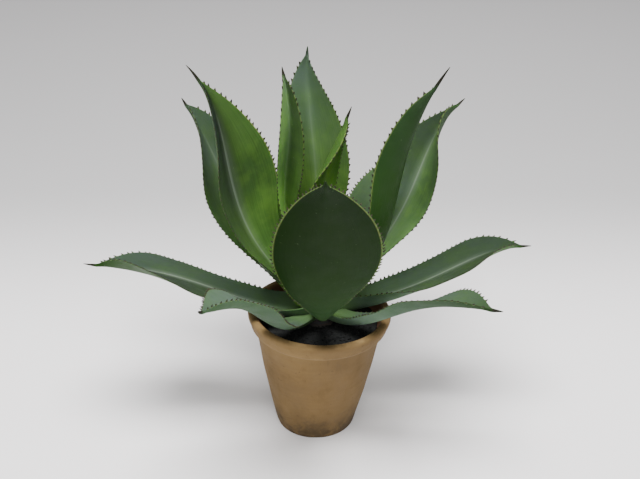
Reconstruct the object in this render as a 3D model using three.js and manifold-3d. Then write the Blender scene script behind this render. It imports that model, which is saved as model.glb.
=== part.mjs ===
// A young agave rosette in a round clay pot.
// Millimetres, +Z up. The plant's front, as usually seen, looks along -Y.
// The pot, its soil, the short stem and every leaf are solids of their own.
import * as THREE from "three";
import Module from "manifold-3d";

const wasm = await Module();
wasm.setup();

// Pot: thrown clay, rounded rim band, flat foot, axis leaning a little to +X.
const POT_HEIGHT = 137.4;
const POT_LEAN = 1.9;
const RIM_RADIUS = 75;
const RIM_BAND = 17.5;
const BAND_FOOT_RADIUS = 71;
const SHOULDER_RADIUS = 66.5;
const FOOT_RADIUS = 42.5;
const WALL_BELLY = 1.2;
const RIM_WALL = 9;
const POT_WALL = 7;
const POT_FLOOR = 9;
const DRAIN_RADIUS = 7;
const POT_SIDES = 44;

// Soil: filled to below the rim, a plain hole holds the stem's root end.
const SOIL_BELOW_RIM = 15;
const SOIL_CROWN = 2;
const GAP = 0.3;

// Stem: a short thick stump, standing a little to the right of the pot's middle.
const STEM_X = 4.6;
const STEM_ROOT = 86;
const STEM_TOP = 184;
const STEM_SIDES = 28;

// Blade: thick fleshy foot, thin margins, dark needle at the end.
const MARGIN_THICK = 0.9;
const FOOT_THICK = 7;
const TIP_THICK = 2.2;
const VALLEY = 0.18;
const SPINE_HALF = 1.25;
const FOOT_REACH = 11;
const BLADE_ROWS = 12;
const TOOTH_LONG = 2.1;
const TOOTH_HALF = 0.9;
const TOOTH_STEP = 15;

// Every leaf: heading round the stem and rise above level in degrees, the rise given at the
// foot, at one third, at two thirds and at the tip. foot is the height where it leaves the
// stem, out the distance of that point from the stem's axis. fold closes the blade to a V and
// roll turns it about its own length, at the foot, the middle and the tip. swing bends it
// sideways, evenly and toward the tip. neck is how wide its foot is beside its full width,
// broad where along its length it is widest, taper how full it stays beyond that.
const LEAVES = [
  { name: "leaf_back_centre", heading: 91, foot: 163, out: 13, rise: [60, 64, 63, 110],
    long: 247, wide: 87, fold: [23, 45, 43], roll: [3, 1, -46], swing: [10, 13],
    neck: 0.33, broad: 0.52, needle: 10, taper: 0.96 },
  { name: "leaf_inner_left", heading: 148, foot: 171, out: 12, rise: [50, 85, 98, 27],
    long: 232, wide: 53, fold: [62, 64, 56], roll: [-15, -31, 1], swing: [-15, -31],
    neck: 0.32, broad: 0.6, needle: 11, taper: 1.08 },
  { name: "leaf_inner_right", heading: 164, foot: 177, out: 6, rise: [100, 94, 108, 104],
    long: 191, wide: 65, fold: [74, 2, 49], roll: [-4, -11, 17], swing: [0, 2],
    neck: 0.32, broad: 0.53, needle: 12, taper: 0.98 },
  { name: "leaf_left_upper", heading: 172, foot: 155, out: 13, rise: [34, 65, 81, 39],
    long: 273, wide: 111, fold: [47, 27, 35], roll: [-17, -15, -2], swing: [-10, 3],
    neck: 0.37, broad: 0.52, needle: 18, taper: 1.34 },
  { name: "leaf_left_outer", heading: 138, foot: 148, out: 13, rise: [36, 37, 58, 49],
    long: 255, wide: 104, fold: [8, -5, 44], roll: [-25, 17, 8], swing: [-8, 29],
    neck: 0.36, broad: 0.59, needle: 9, taper: 0.95 },
  { name: "leaf_right_upper", heading: -4, foot: 166, out: 13, rise: [23, 75, 74, 55],
    long: 272, wide: 109, fold: [40, 18, 53], roll: [-12, 0, -23], swing: [-15, -13],
    neck: 0.37, broad: 0.45, needle: 24, taper: 1.27 },
  { name: "leaf_right_outer", heading: 28, foot: 152, out: 13, rise: [32, 48, 66, 22],
    long: 251, wide: 89, fold: [44, 10, 37], roll: [-10, 3, -50], swing: [10, -10],
    neck: 0.31, broad: 0.71, needle: 10, taper: 1.2 },
  { name: "leaf_front", heading: -85, foot: 143, out: 13, rise: [21, 52, 59, 53],
    long: 302, wide: 95, fold: [16, 2, 47], roll: [6, 3, -6], swing: [-8, -1],
    neck: 0.23, broad: 0.6, needle: 5, taper: 1.15 },
  { name: "leaf_left_low", heading: 186, foot: 138, out: 13, rise: [-5, 25, 16, 4],
    long: 235, wide: 104, fold: [48, 4, 49], roll: [-4, 13, 27], swing: [-5, 0],
    neck: 0.41, broad: 0.68, needle: 12, taper: 1.33 },
  { name: "leaf_front_left", heading: 232, foot: 139, out: 13, rise: [-8, 42, 29, 34],
    long: 264, wide: 62, fold: [11, 7, 57], roll: [11, -10, 24], swing: [40, -15],
    neck: 0.32, broad: 0.48, needle: 8, taper: 1.26 },
  { name: "leaf_right_low", heading: 3, foot: 138, out: 13, rise: [13, 20, 28, -6],
    long: 217, wide: 97, fold: [75, 10, 35], roll: [-10, -11, -17], swing: [3, -8],
    neck: 0.34, broad: 0.69, needle: 10, taper: 1.19 },
  { name: "leaf_front_right", heading: -37, foot: 140, out: 13, rise: [-12, 33, 21, 11],
    long: 210, wide: 64, fold: [29, 6, 54], roll: [1, -21, 6], swing: [6, -9],
    neck: 0.32, broad: 0.65, needle: 11, taper: 1.2 },
  { name: "leaf_back_right", heading: 56, foot: 142, out: 13, rise: [28, 21, 20, 26],
    long: 267, wide: 91, fold: [31, 23, 32], roll: [1, -3, -12], swing: [4, 9],
    neck: 0.32, broad: 0.56, needle: 12, taper: 1.19 },
  { name: "leaf_back_low", heading: 95, foot: 146, out: 13, rise: [20, 24, 18, 8],
    long: 240, wide: 78, fold: [30, 12, 36], roll: [0, 4, 4], swing: [0, 0],
    neck: 0.32, broad: 0.57, needle: 12, taper: 1.15 },
  { name: "leaf_spear", heading: -12, foot: 176, out: 9, rise: [84, 80, 78, 77],
    long: 74, wide: 15, fold: [58, 60, 50], roll: [0, 0, 0], swing: [0, 0],
    neck: 0.75, broad: 0.35, needle: 6, taper: 1.2, furled: true },
];

const rad = THREE.MathUtils.degToRad;

// A smooth curve through four values at the foot, the thirds and the tip.
function throughFour([a, b, c, d], t) {
  return (
    a * -4.5 * (t - 1 / 3) * (t - 2 / 3) * (t - 1) +
    b * 13.5 * t * (t - 2 / 3) * (t - 1) -
    c * 13.5 * t * (t - 1 / 3) * (t - 1) +
    d * 4.5 * t * (t - 1 / 3) * (t - 2 / 3)
  );
}

// A smooth curve through three values at the foot, the middle and the tip.
function throughThree([a, b, c], t) {
  return a * (1 - t) * (1 - 2 * t) + b * 4 * t * (1 - t) + c * t * (2 * t - 1);
}

// How far along the leaf its blade has run out and only the needle is left.
const bladeEnd = (leaf) => 1 - leaf.needle / leaf.long;

function halfWidth(leaf, t) {
  const end = bladeEnd(leaf);
  const x = Math.min(Math.max(t / leaf.broad, 0), 1);
  const y = Math.min(Math.max((t - leaf.broad) / (end - leaf.broad), 0), 1);
  const share = t < leaf.broad
    ? leaf.neck + (1 - leaf.neck) * Math.sin((Math.PI / 2) * x ** 1.25) ** 2
    : (1 - y) ** leaf.taper * (1 + leaf.taper * y);
  const needle = SPINE_HALF * Math.min((1 - t) / (1 - end), 1);
  return Math.cbrt(((leaf.wide / 2) * share) ** 3 + needle ** 3);
}

function keelThick(leaf, t) {
  const size = Math.min(leaf.long / 200, 1);
  return size * (FOOT_THICK * (1 - t) + TIP_THICK * (1 - t ** 6));
}

// The leaf's middle line with its sideways and upward directions at each place along it.
function midline(leaf) {
  const steps = 240;
  const at = [];
  const foot = rad(leaf.heading);
  const p = new THREE.Vector3(
    STEM_X + leaf.out * Math.cos(foot), leaf.out * Math.sin(foot), leaf.foot);
  let before = null;
  for (let i = 0; i <= steps; i++) {
    const t = i / steps;
    const e = rad(throughFour(leaf.rise, t));
    const h = rad(leaf.heading + leaf.swing[0] * t + leaf.swing[1] * t * t);
    const along = new THREE.Vector3(
      Math.cos(e) * Math.cos(h), Math.cos(e) * Math.sin(h), Math.sin(e));
    if (before) {
      p.addScaledVector(before.clone().add(along), (0.5 * leaf.long) / steps);
    }
    before = along;
    const side = new THREE.Vector3(-Math.sin(h), Math.cos(h), 0);
    side.addScaledVector(along, -side.dot(along)).normalize();
    const face = along.clone().cross(side);
    const r = rad(throughThree(leaf.roll, t));
    at.push({
      p: p.clone(),
      along,
      side: side.clone().multiplyScalar(Math.cos(r)).addScaledVector(face, Math.sin(r)),
      face: face.clone().multiplyScalar(Math.cos(r)).addScaledVector(side, -Math.sin(r)),
    });
  }
  return (t) => {
    if (t < 0) {
      // Below the foot the blade curls in to the stem.
      const e = rad(leaf.rise[0] - 40);
      const h = rad(leaf.heading);
      const inward = new THREE.Vector3(
        Math.cos(e) * Math.cos(h), Math.cos(e) * Math.sin(h), Math.sin(e));
      return { ...at[0], p: at[0].p.clone().addScaledVector(inward, t * leaf.long) };
    }
    const k = Math.min(t * steps, steps - 1e-9);
    const i = Math.floor(k);
    const q = at[i].p.clone().lerp(at[i + 1].p, k - i);
    return { ...at[Math.round(k)], p: q };
  };
}

// One point of the blade: u runs from margin to margin, under picks the outer face.
function bladePoint(leaf, line, t, u, under, grow) {
  const m = line(t);
  const w = halfWidth(leaf, Math.max(t, 0)) + grow;
  const f = rad(throughThree(leaf.fold, Math.max(t, 0)));
  const bend = Math.sqrt(u * u + VALLEY * VALLEY);
  const p = m.p.clone()
    .addScaledVector(m.side, w * u * Math.cos(f))
    .addScaledVector(m.face, w * Math.sin(f) * (bend - VALLEY));
  const slope = Math.atan2(Math.sin(f) * (u / bend), Math.cos(f));
  const out = m.face.clone().multiplyScalar(Math.cos(slope))
    .addScaledVector(m.side, -Math.sin(slope));
  if (!under) return p.addScaledVector(out, grow);
  const keel = Math.max(keelThick(leaf, Math.max(t, 0)), MARGIN_THICK);
  const deep = MARGIN_THICK + (keel - MARGIN_THICK) * (1 - Math.abs(u) ** 1.6);
  // Toward the end the blade takes the needle's round section.
  const needle = THREE.MathUtils.smoothstep(t, bladeEnd(leaf) - 0.07, bladeEnd(leaf) + 0.01);
  const round = 2 * Math.min(w, SPINE_HALF) * Math.max(1 - u * u, 0.3);
  return p.addScaledVector(out, -(deep * (1 - needle) + round * needle) - grow);
}

function solid(points, triangles) {
  const mesh = new wasm.Mesh({
    numProp: 3,
    vertProperties: new Float32Array(points.flatMap((p) => [p.x, p.y, p.z])),
    triVerts: new Uint32Array(triangles.flat()),
  });
  return new wasm.Manifold(mesh);
}

// Both faces of the blade are split into triangles alike, so its thickness stays even.
function blade(leaf, line, grow) {
  const across = [-1, -0.5, 0, 0.5, 1];
  const n = across.length;
  const stops = [-FOOT_REACH / leaf.long];
  const end = bladeEnd(leaf);
  for (let i = 0; i <= BLADE_ROWS; i++) stops.push((i / BLADE_ROWS) * (end - 0.03));
  stops.push(end, (1 + end) / 2);
  const points = [];
  for (const t of stops) {
    for (const u of across) points.push(bladePoint(leaf, line, t, u, false, grow));
    for (const u of across) points.push(bladePoint(leaf, line, t, u, true, grow));
  }
  const triangles = [];
  const row = 2 * n;
  for (let i = 0; i + 1 < stops.length; i++) {
    const a = i * row;
    const b = a + row;
    for (let j = 0; j + 1 < n; j++) {
      triangles.push([a + j, b + j, b + j + 1], [a + j, b + j + 1, a + j + 1]);
      const c = a + n + j;
      const d = b + n + j;
      triangles.push([c, d + 1, d], [c, c + 1, d + 1]);
    }
    triangles.push([a, a + n, b + n], [a, b + n, b]);
    triangles.push([a + n - 1, b + row - 1, a + row - 1], [a + n - 1, b + n - 1, b + row - 1]);
  }
  for (let j = 0; j + 1 < n; j++) {
    triangles.push([j, j + 1, n + j + 1], [j, n + j + 1, n + j]);
  }
  const tip = points.length;
  points.push(line(1).p.clone());
  const last = (stops.length - 1) * row;
  for (let j = 0; j + 1 < n; j++) {
    triangles.push([last + j, tip, last + j + 1], [last + n + j, last + n + j + 1, tip]);
  }
  triangles.push([last, last + n, tip], [last + n - 1, tip, last + row - 1]);
  return solid(points, triangles);
}

// A tooth: a three-sided point with its root sunk in the margin, leaning to the leaf's tip.
function tooth(leaf, line, t, u) {
  const step = 0.004;
  const root = bladePoint(leaf, line, t, u, false, 0)
    .add(bladePoint(leaf, line, t, u, true, 0)).multiplyScalar(0.5);
  const inside = bladePoint(leaf, line, t, u * 0.9, false, 0);
  const along = bladePoint(leaf, line, t + step, u, false, 0)
    .sub(bladePoint(leaf, line, t - step, u, false, 0)).normalize();
  const out = root.clone().sub(inside);
  out.addScaledVector(along, -out.dot(along)).normalize();
  const up = out.clone().cross(along);
  const point = (a, o, n) => root.clone().addScaledVector(along, a)
    .addScaledVector(out, o).addScaledVector(up, n);
  const points = [
    point(-TOOTH_HALF, -0.8, 0), point(TOOTH_HALF, -0.8, 0.36), point(TOOTH_HALF, -0.8, -0.36),
    point(0.7, TOOTH_LONG, 0),
  ];
  const flip = new THREE.Vector3().crossVectors(
    points[1].clone().sub(points[0]), points[2].clone().sub(points[0]))
    .dot(points[3].clone().sub(points[0])) > 0;
  const faces = [[0, 1, 2], [0, 3, 1], [1, 3, 2], [2, 3, 0]];
  return solid(points, flip ? faces.map(([a, b, c]) => [a, c, b]) : faces);
}

function toothed(leaf, line) {
  let whole = blade(leaf, line, 0);
  if (leaf.furled) return whole;
  const from = 0.24;
  const to = bladeEnd(leaf) - 0.05;
  const count = Math.round(((to - from) * leaf.long) / TOOTH_STEP);
  for (let i = 0; i <= count; i++) {
    const t = from + ((to - from) * i) / count;
    whole = whole.add(tooth(leaf, line, t, 1)).add(tooth(leaf, line, t - 0.008, -1));
  }
  return whole;
}

// Solid of revolution from a closed or axis-to-axis outline, about an axis that leans toward
// +X by lean degrees and stands at x.
function turned(outline, sides, lean, x) {
  const place = new THREE.Matrix4().makeTranslation(x, 0, 0)
    .multiply(new THREE.Matrix4().makeRotationY(rad(lean)));
  const lathe = new THREE.LatheGeometry(outline.map(([r, z]) => new THREE.Vector2(r, z)), sides);
  const pos = lathe.attributes.position;
  const points = [];
  const where = new Map();
  const index = [];
  for (let i = 0; i < pos.count; i++) {
    const p = new THREE.Vector3(pos.getX(i), -pos.getZ(i), pos.getY(i)).applyMatrix4(place);
    const key = [p.x, p.y, p.z].map((v) => Math.round(v * 1e4)).join("/");
    if (!where.has(key)) {
      where.set(key, points.length);
      points.push(p);
    }
    index.push(where.get(key));
  }
  const triangles = [];
  for (let i = 0; i < lathe.index.count; i += 3) {
    const [a, b, c] = [0, 1, 2].map((k) => index[lathe.index.getX(i + k)]);
    if (a !== b && b !== c && c !== a) triangles.push([a, b, c]);
  }
  return solid(points, triangles);
}

// Outer and inner radius of the pot's straight wall at a height along its own axis. The belly
// is how far the outside stands proud of that.
const slopeOut = (SHOULDER_RADIUS - FOOT_RADIUS) / (POT_HEIGHT - RIM_BAND);
const wallOutside = (z) => FOOT_RADIUS + slopeOut * z;
const wallInside = (z) => wallOutside(z) - POT_WALL;

function potSolid() {
  const h = POT_HEIGHT;
  const band = h - RIM_BAND;
  const inside = RIM_RADIUS - RIM_WALL;
  const outline = [
    [DRAIN_RADIUS, -4], [FOOT_RADIUS - 2, -4], [FOOT_RADIUS - 1, 0.6], [wallOutside(3), 3],
    [wallOutside(35) + WALL_BELLY * 0.6, 35], [wallOutside(70) + WALL_BELLY, 70],
    [wallOutside(100) + WALL_BELLY * 0.5, 100], [SHOULDER_RADIUS, band - 1.5],
    [BAND_FOOT_RADIUS - 1.5, band], [BAND_FOOT_RADIUS + 1, band + 2.5],
    [RIM_RADIUS - 1.2, h - 8], [RIM_RADIUS, h - 4.5], [RIM_RADIUS - 0.8, h - 1.6],
    [RIM_RADIUS - 3.2, h], [inside + 2.2, h], [inside + 0.4, h - 1.6], [inside - 1.5, h - 8],
    [wallInside(band - 6), band - 6], [wallInside(POT_FLOOR + 3), POT_FLOOR + 3],
    [wallInside(POT_FLOOR + 3) - 3, POT_FLOOR], [DRAIN_RADIUS, POT_FLOOR], [DRAIN_RADIUS, -4],
  ];
  // Whatever the lean brings below the floor is taken off level.
  const below = [[0, -20], [2 * RIM_RADIUS, -20], [2 * RIM_RADIUS, 0], [0, 0]];
  return turned(outline, POT_SIDES, POT_LEAN, 0).subtract(turned(below, 4, 0, 0));
}

const soilTop = POT_HEIGHT - SOIL_BELOW_RIM;

// The stem's outline, fatter by grow.
function stemOutline(grow) {
  return [
    [0, STEM_ROOT - grow], [9 + grow, STEM_ROOT + 2 - grow], [14 + grow, STEM_ROOT + 16],
    [14.5 + grow, soilTop + 4], [15.5 + grow, soilTop + 12], [14.5 + grow, 150],
    [12 + grow, 163], [8 + grow, 175], [4 + grow, STEM_TOP - 2 + grow], [0, STEM_TOP + grow],
  ];
}

function stemSolid(grow) {
  return turned(stemOutline(grow), STEM_SIDES, 0, STEM_X);
}

function soilSolid() {
  const h = POT_HEIGHT;
  const band = h - RIM_BAND;
  const edge = RIM_RADIUS - RIM_WALL - 1.5 - GAP;
  const knee = band - 6;
  const wall = wallInside(knee) + ((edge + GAP - wallInside(knee)) * (soilTop - knee))
    / (h - 8 - knee) - GAP;
  const outline = [
    [0, POT_FLOOR + GAP], [wallInside(POT_FLOOR + 3) - 3 - GAP, POT_FLOOR + GAP],
    [wallInside(POT_FLOOR + 3) - GAP, POT_FLOOR + 3 + GAP], [wallInside(knee) - GAP, knee],
    [wall, soilTop], [wall - 8, soilTop + 0.6], [wall * 0.6, soilTop + SOIL_CROWN],
    [0, soilTop + SOIL_CROWN],
  ];
  return turned(outline, POT_SIDES, POT_LEAN, 0).subtract(stemSolid(GAP));
}

const paint = {
  clay: new THREE.MeshStandardMaterial({ color: 0x9c7a50, roughness: 0.9, metalness: 0 }),
  soil: new THREE.MeshStandardMaterial({ color: 0x1d1a17, roughness: 1, metalness: 0 }),
  stump: new THREE.MeshStandardMaterial({ color: 0x6f7448, roughness: 0.8, metalness: 0 }),
};

function mesh(name, body, material) {
  const got = body.getMesh();
  const geometry = new THREE.BufferGeometry();
  geometry.setAttribute("position", new THREE.BufferAttribute(
    Float32Array.from(got.vertProperties), 3));
  geometry.setIndex(new THREE.BufferAttribute(Uint32Array.from(got.triVerts), 1));
  const flat = geometry.toNonIndexed();
  flat.computeVertexNormals();
  const out = new THREE.Mesh(flat, material);
  out.name = name;
  return out;
}

const bodies = new Map();
bodies.set("pot", [potSolid(), paint.clay]);
bodies.set("soil", [soilSolid(), paint.soil]);
bodies.set("stem", [stemSolid(0), paint.stump]);

// Leaves from the heart outward: an outer leaf gives way where it presses on the stem or on a
// leaf further in, with the same small gap all over. Chips that this leaves loose are dropped.
const keepOut = [stemSolid(GAP), soilSolid()];
const inward = [...LEAVES].sort((a, b) => b.foot - a.foot);
for (const leaf of inward) {
  const line = midline(leaf);
  let body = toothed(leaf, line);
  for (const other of keepOut) body = body.subtract(other);
  const whole = body.decompose().sort((a, b) => b.volume() - a.volume())[0];
  keepOut.push(blade(leaf, line, GAP), whole);
  const green = new THREE.MeshStandardMaterial({ color: 0x55733f, roughness: 0.55, metalness: 0 });
  bodies.set(leaf.name, [whole, green]);
}

const part = new THREE.Group();
part.name = "potted_agave";
for (const [name, [body, material]] of bodies) part.add(mesh(name, body, material));

const bounds = new THREE.Box3().setFromObject(part);
const centre = bounds.getCenter(new THREE.Vector3());
for (const piece of part.children) piece.geometry.translate(-centre.x, -centre.y, -bounds.min.z);

export default part;
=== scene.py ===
import math
import random

import bmesh
import bpy
import numpy as np
from mathutils import Matrix, Vector, noise


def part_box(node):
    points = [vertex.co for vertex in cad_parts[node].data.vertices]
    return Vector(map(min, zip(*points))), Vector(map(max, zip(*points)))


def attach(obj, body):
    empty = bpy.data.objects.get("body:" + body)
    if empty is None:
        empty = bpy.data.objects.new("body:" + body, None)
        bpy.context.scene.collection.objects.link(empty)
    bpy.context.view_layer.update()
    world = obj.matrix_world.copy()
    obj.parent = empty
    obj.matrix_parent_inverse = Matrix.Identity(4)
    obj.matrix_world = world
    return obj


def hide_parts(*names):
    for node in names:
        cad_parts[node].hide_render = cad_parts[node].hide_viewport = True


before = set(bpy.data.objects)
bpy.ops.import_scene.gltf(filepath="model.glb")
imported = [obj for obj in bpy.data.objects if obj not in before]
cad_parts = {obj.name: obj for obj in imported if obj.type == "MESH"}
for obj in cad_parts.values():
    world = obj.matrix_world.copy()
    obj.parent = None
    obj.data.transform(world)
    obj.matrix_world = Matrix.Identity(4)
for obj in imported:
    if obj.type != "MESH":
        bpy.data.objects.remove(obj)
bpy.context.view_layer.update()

bl_info = {
    "name": "Potted agave",
    "version": (1, 0, 0),
    "blender": (4, 5, 0),
    "location": "3D View > Sidebar > Potted agave",
    "description": "Builds a toothed agave rosette in a clay pot around its packed solids",
    "category": "Object",
}

# Sizes of pieces are millimetres, as in the part's source, and MM takes them to metres. In the
# materials and on the stage they are metres.
MM = 0.001

# How far the stem's axis stands to the right of the pot's.
STEM_X = 4.6

# A blade's fold is rounded over VALLEY of its half width. Its margins are MARGIN_THICK thick.
# Along the midrib it has FOOT_THICK, which runs out evenly toward the tip, and TIP_THICK, which
# lasts until near the tip. A leaf shorter than FULL_LONG is thinner in proportion. The needle
# starts with NEEDLE_RADIUS and is nowhere thicker than NEEDLE_THICK each way from its middle.
VALLEY = 0.18
MARGIN_THICK = 0.9
FOOT_THICK = 7.0
TIP_THICK = 2.2
FULL_LONG = 200
NEEDLE_RADIUS = 1.15
NEEDLE_THICK = 1.3

# The first rings of a blade lie inside the stem, at FOOT_RINGS from its foot.
FOOT_RINGS = (-11, -5)
LEAST_ROWS = 24
NEEDLE_ROWS = 12
LAST_ROW = 0.997
# How far the middle of a margin stands proud of its two edges.
MARGIN_PROUD = 0.3
# Where along the leaf's layer the blade ends and the needle starts.
NEEDLE_START = 0.93
# The two materials of a leaf.
FLESH = 0
HORN = 1

# Teeth stand from TEETH_FROM of the leaf's length to TEETH_CLEAR before its needle. The rings of
# a tooth have their height as a share of its length, half their breadth along the margin, half
# their thickness and their height in the layer. The first is sunk TOOTH_SUNK into the margin.
TEETH_FROM = 0.12
TEETH_CLEAR = 6
TOOTH_SIDES = 6
TOOTH_SUNK = 0.4
TOOTH_RINGS = (
    (0.0, 2.2, 0.5, 0.0), (0.1, 1.7, 0.55, 0.1), (0.4, 1.15, 0.5, 0.45), (0.75, 0.6, 0.35, 0.75))

# The pot is drawn FOOT_CUT deeper than the table and cut flat there, because it leans. Right
# under the band the wall's radius is BAND_STEP less than the rim's. Inside, CORNER bevels wall
# and floor, the wall turns outward NECK below the band, and the soil keeps SOIL_GAP from it.
POT_WALL = 7.0
POT_FLOOR = 9.0
DRAIN_RADIUS = 7.0
FOOT_CUT = 4.0
BAND_STEP = 8.5
CORNER = 3.0
NECK = 6.0
SOIL_GAP = 0.3
# How much higher the soil lies in the middle than at its edge.
SOIL_CROWN = 2.0

# Every leaf: heading round the stem and rise above level in degrees, the rise given at the
# foot, at one third, at two thirds and at the tip. foot is the height where it leaves the
# stem, out the distance of that point from the stem's axis. fold closes the blade to a V and
# roll turns it about its own length, at the foot, the middle and the tip. swing bends it
# sideways, evenly and toward the tip. neck is how wide its foot is beside its full width,
# broad where along its length it is widest, taper how early it narrows beyond that. ripple is
# how far the margins wave, and a leaf whose margins don't wave has no teeth.
# bloom and under are how much grey wax lies on its inner and outer face, where 1 is nearly all
# grey, and tone and back how light those faces are, the leaf's own lightness with painted light
# and shade in it where a face lay lit or in shade; each is given at the foot, in the middle and at
# the end, or once for the whole blade. half is painted light and shade, how much lighter the inner
# face is left of the midrib, seen from the foot, grey how much waxier it is there, and rim_side
# painted light, how much paler the margin line is at the right. shade is painted shade in the
# fold, how much darker the blade is along its midrib toward the end. glow is how much light the
# flesh passes on, rim how pale the margin line is, partly its own pale edge and partly painted
# light through the thin edge, vein how plain the midrib band, and horn how dark the needle. What a
# leaf doesn't give is as usual.
USUAL = dict(
    out=13, ripple=0.6, neck=0.32, half=0, grey=0, shade=0, glow=0.25, rim_side=0, horn=1)
LEAVES = dict(
    leaf_back_centre=dict(
        heading=91, foot=163, rise=(60, 64, 63, 110), long=247, wide=87, needle=10, ripple=0.5,
        fold=(23, 45, 43), roll=(3, 1, -46), swing=(10, 13), neck=0.33, broad=0.52, taper=0.96,
        bloom=(0, 0.25, 1.3), tone=(0.6, 0.5, 0.95), half=-0.1,
        under=0.3, back=0.55, glow=0.35, rim=0.3, vein=0.15, horn=0.5),
    leaf_inner_left=dict(
        heading=148, foot=171, out=12, rise=(50, 85, 98, 27), long=232, wide=53, needle=11, ripple=0.4,
        fold=(62, 64, 56), roll=(-15, -31, 1), swing=(-15, -31), broad=0.6, taper=1.08,
        bloom=(0, 0.2, 0.6), tone=(2.1, 1.5, 0.45), half=0.5,
        under=0.1, back=0.8, glow=0.8, rim=0.35, vein=0.25),
    leaf_inner_right=dict(
        heading=164, foot=177, out=6, rise=(100, 94, 108, 104), long=191, wide=65, needle=12, ripple=0.3,
        fold=(74, 2, 49), roll=(-4, -11, 17), swing=(0, 2), broad=0.53, taper=0.98,
        bloom=(0.1, 0, 0), tone=(1.3, 1, 0.75), half=-0.2, grey=0.3,
        under=(0, 0, 0.2), back=0.7, glow=0.8, rim=0.5, vein=0.1),
    leaf_left_upper=dict(
        heading=172, foot=155, rise=(34, 65, 81, 39), long=273, wide=111, needle=18,
        fold=(47, 27, 35), roll=(-17, -15, -2), swing=(-10, 3), neck=0.37, broad=0.52, taper=1.34,
        bloom=(0, 0.35, 0.9), tone=(0.9, 0.55, 0.27), half=-0.35, grey=0.6, shade=0.65,
        under=0.3, back=0.6, glow=0.6, rim=0.4, rim_side=0.9, vein=0.6),
    leaf_left_outer=dict(
        heading=138, foot=148, rise=(36, 37, 58, 49), long=255, wide=104, needle=9,
        fold=(8, -5, 44), roll=(-25, 17, 8), swing=(-8, 29), neck=0.36, broad=0.59, taper=0.95,
        bloom=(0, 0.4, 1.1), tone=(1.3, 0.65, 0.4),
        under=0.4, back=0.6, glow=0.35, rim=0.3, vein=0.5),
    leaf_right_upper=dict(
        heading=-4, foot=166, rise=(23, 75, 74, 55), long=272, wide=109, needle=24,
        fold=(40, 18, 53), roll=(-12, 0, -23), swing=(-15, -13), neck=0.37, broad=0.45, taper=1.27,
        bloom=(0.3, 0.4, 0.5), tone=0.7,
        under=(0, 0, 0.5), back=(1, 0.75, 0.4), rim=0.5, vein=0.8),
    leaf_right_outer=dict(
        heading=28, foot=152, rise=(32, 48, 66, 22), long=251, wide=89, needle=10, ripple=0.5,
        fold=(44, 10, 37), roll=(-10, 3, -50), swing=(10, -10), neck=0.31, broad=0.71, taper=1.2,
        bloom=(1, 0.6, 0.4), tone=(2, 1, 0.3), half=-0.45, grey=0.4,
        under=0.3, back=0.6, glow=0.5, rim=0.35, vein=0.8),
    leaf_front=dict(
        heading=-85, foot=143, rise=(21, 52, 59, 53), long=302, wide=95, needle=5, ripple=0.5,
        fold=(16, 2, 47), roll=(6, 3, -6), swing=(-8, -1), neck=0.23, broad=0.6, taper=1.15,
        bloom=(0.3, 0.4, 0.5), tone=0.6,
        under=(0.5, 0, 0), back=(0.8, 0.36, 0.28), glow=0.2, rim=0.6, vein=0.5, horn=0.2),
    leaf_left_low=dict(
        heading=186, foot=138, rise=(-5, 25, 16, 4), long=235, wide=104, needle=12,
        fold=(48, 4, 49), roll=(-4, 13, 27), swing=(-5, 0), neck=0.41, broad=0.68, taper=1.33,
        bloom=(0.8, 0.8, 1.1), tone=(0.7, 0.33, 0.35), half=-0.3, grey=-0.1,
        under=(1.3, 0.3, 0), back=(1, 0.9, 0.75), rim=0.15, vein=0.8),
    leaf_front_left=dict(
        heading=232, foot=139, rise=(-8, 42, 29, 34), long=264, wide=62, needle=8, ripple=0.5,
        fold=(11, 7, 57), roll=(11, -10, 24), swing=(40, -15), broad=0.48, taper=1.26,
        bloom=(1.3, 1.1, 1.3), tone=(0.3, 0.7, 0.65), grey=0.15,
        under=(1.1, 0.6, 0.5), back=(0.6, 0.75, 1.1), rim=0.1, vein=0.4),
    leaf_right_low=dict(
        heading=3, foot=138, rise=(13, 20, 28, -6), long=217, wide=97, needle=10,
        fold=(75, 10, 35), roll=(-10, -11, -17), swing=(3, -8), neck=0.34, broad=0.69, taper=1.19,
        bloom=(0.6, 0.7, 0.7), tone=(0.7, 0.4, 0.2), half=0.1, grey=0.15,
        under=(1.3, 0.3, 0), back=(0.2, 1.1, 1), rim=0.15, vein=0.7),
    leaf_front_right=dict(
        heading=-37, foot=140, rise=(-12, 33, 21, 11), long=210, wide=64, needle=11, ripple=0.5,
        fold=(29, 6, 54), roll=(1, -21, 6), swing=(6, -9), broad=0.65, taper=1.2,
        bloom=(0.8, 0.9, 0.4), tone=(0.3, 0.42, 0.25), half=0.4, grey=0.1,
        under=(1.3, 0.8, 0), back=(1.6, 0.8, 0.6), rim=0.1, vein=0.4),
    leaf_back_right=dict(
        heading=56, foot=142, rise=(28, 21, 20, 26), long=267, wide=91, needle=12,
        fold=(31, 23, 32), roll=(1, -3, -12), swing=(4, 9), broad=0.56, taper=1.19,
        bloom=(0.4, 0.6, 1), tone=0.45,
        under=0.5, back=0.5, glow=0.35, rim=0.3, vein=0.5),
    leaf_back_low=dict(
        heading=95, foot=146, rise=(20, 24, 18, 8), long=240, wide=78, needle=12,
        fold=(30, 12, 36), roll=(0, 4, 4), swing=(0, 0), broad=0.57, taper=1.15,
        bloom=(0.5, 0.6, 0.7), tone=(0.5, 0.4, 0.35),
        under=0.5, back=0.5, glow=0.35, rim=0.2, vein=0.5),
    leaf_spear=dict(
        heading=-12, foot=176, out=9, rise=(84, 80, 78, 77), long=74, wide=15, needle=6, ripple=0,
        fold=(58, 60, 50), roll=(0, 0, 0), swing=(0, 0), neck=0.75, broad=0.35, taper=1.2,
        bloom=0.1, tone=(1.1, 1, 0.95),
        under=0.1, back=1.1, glow=0.8, rim=0.5, vein=0),
)


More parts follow.
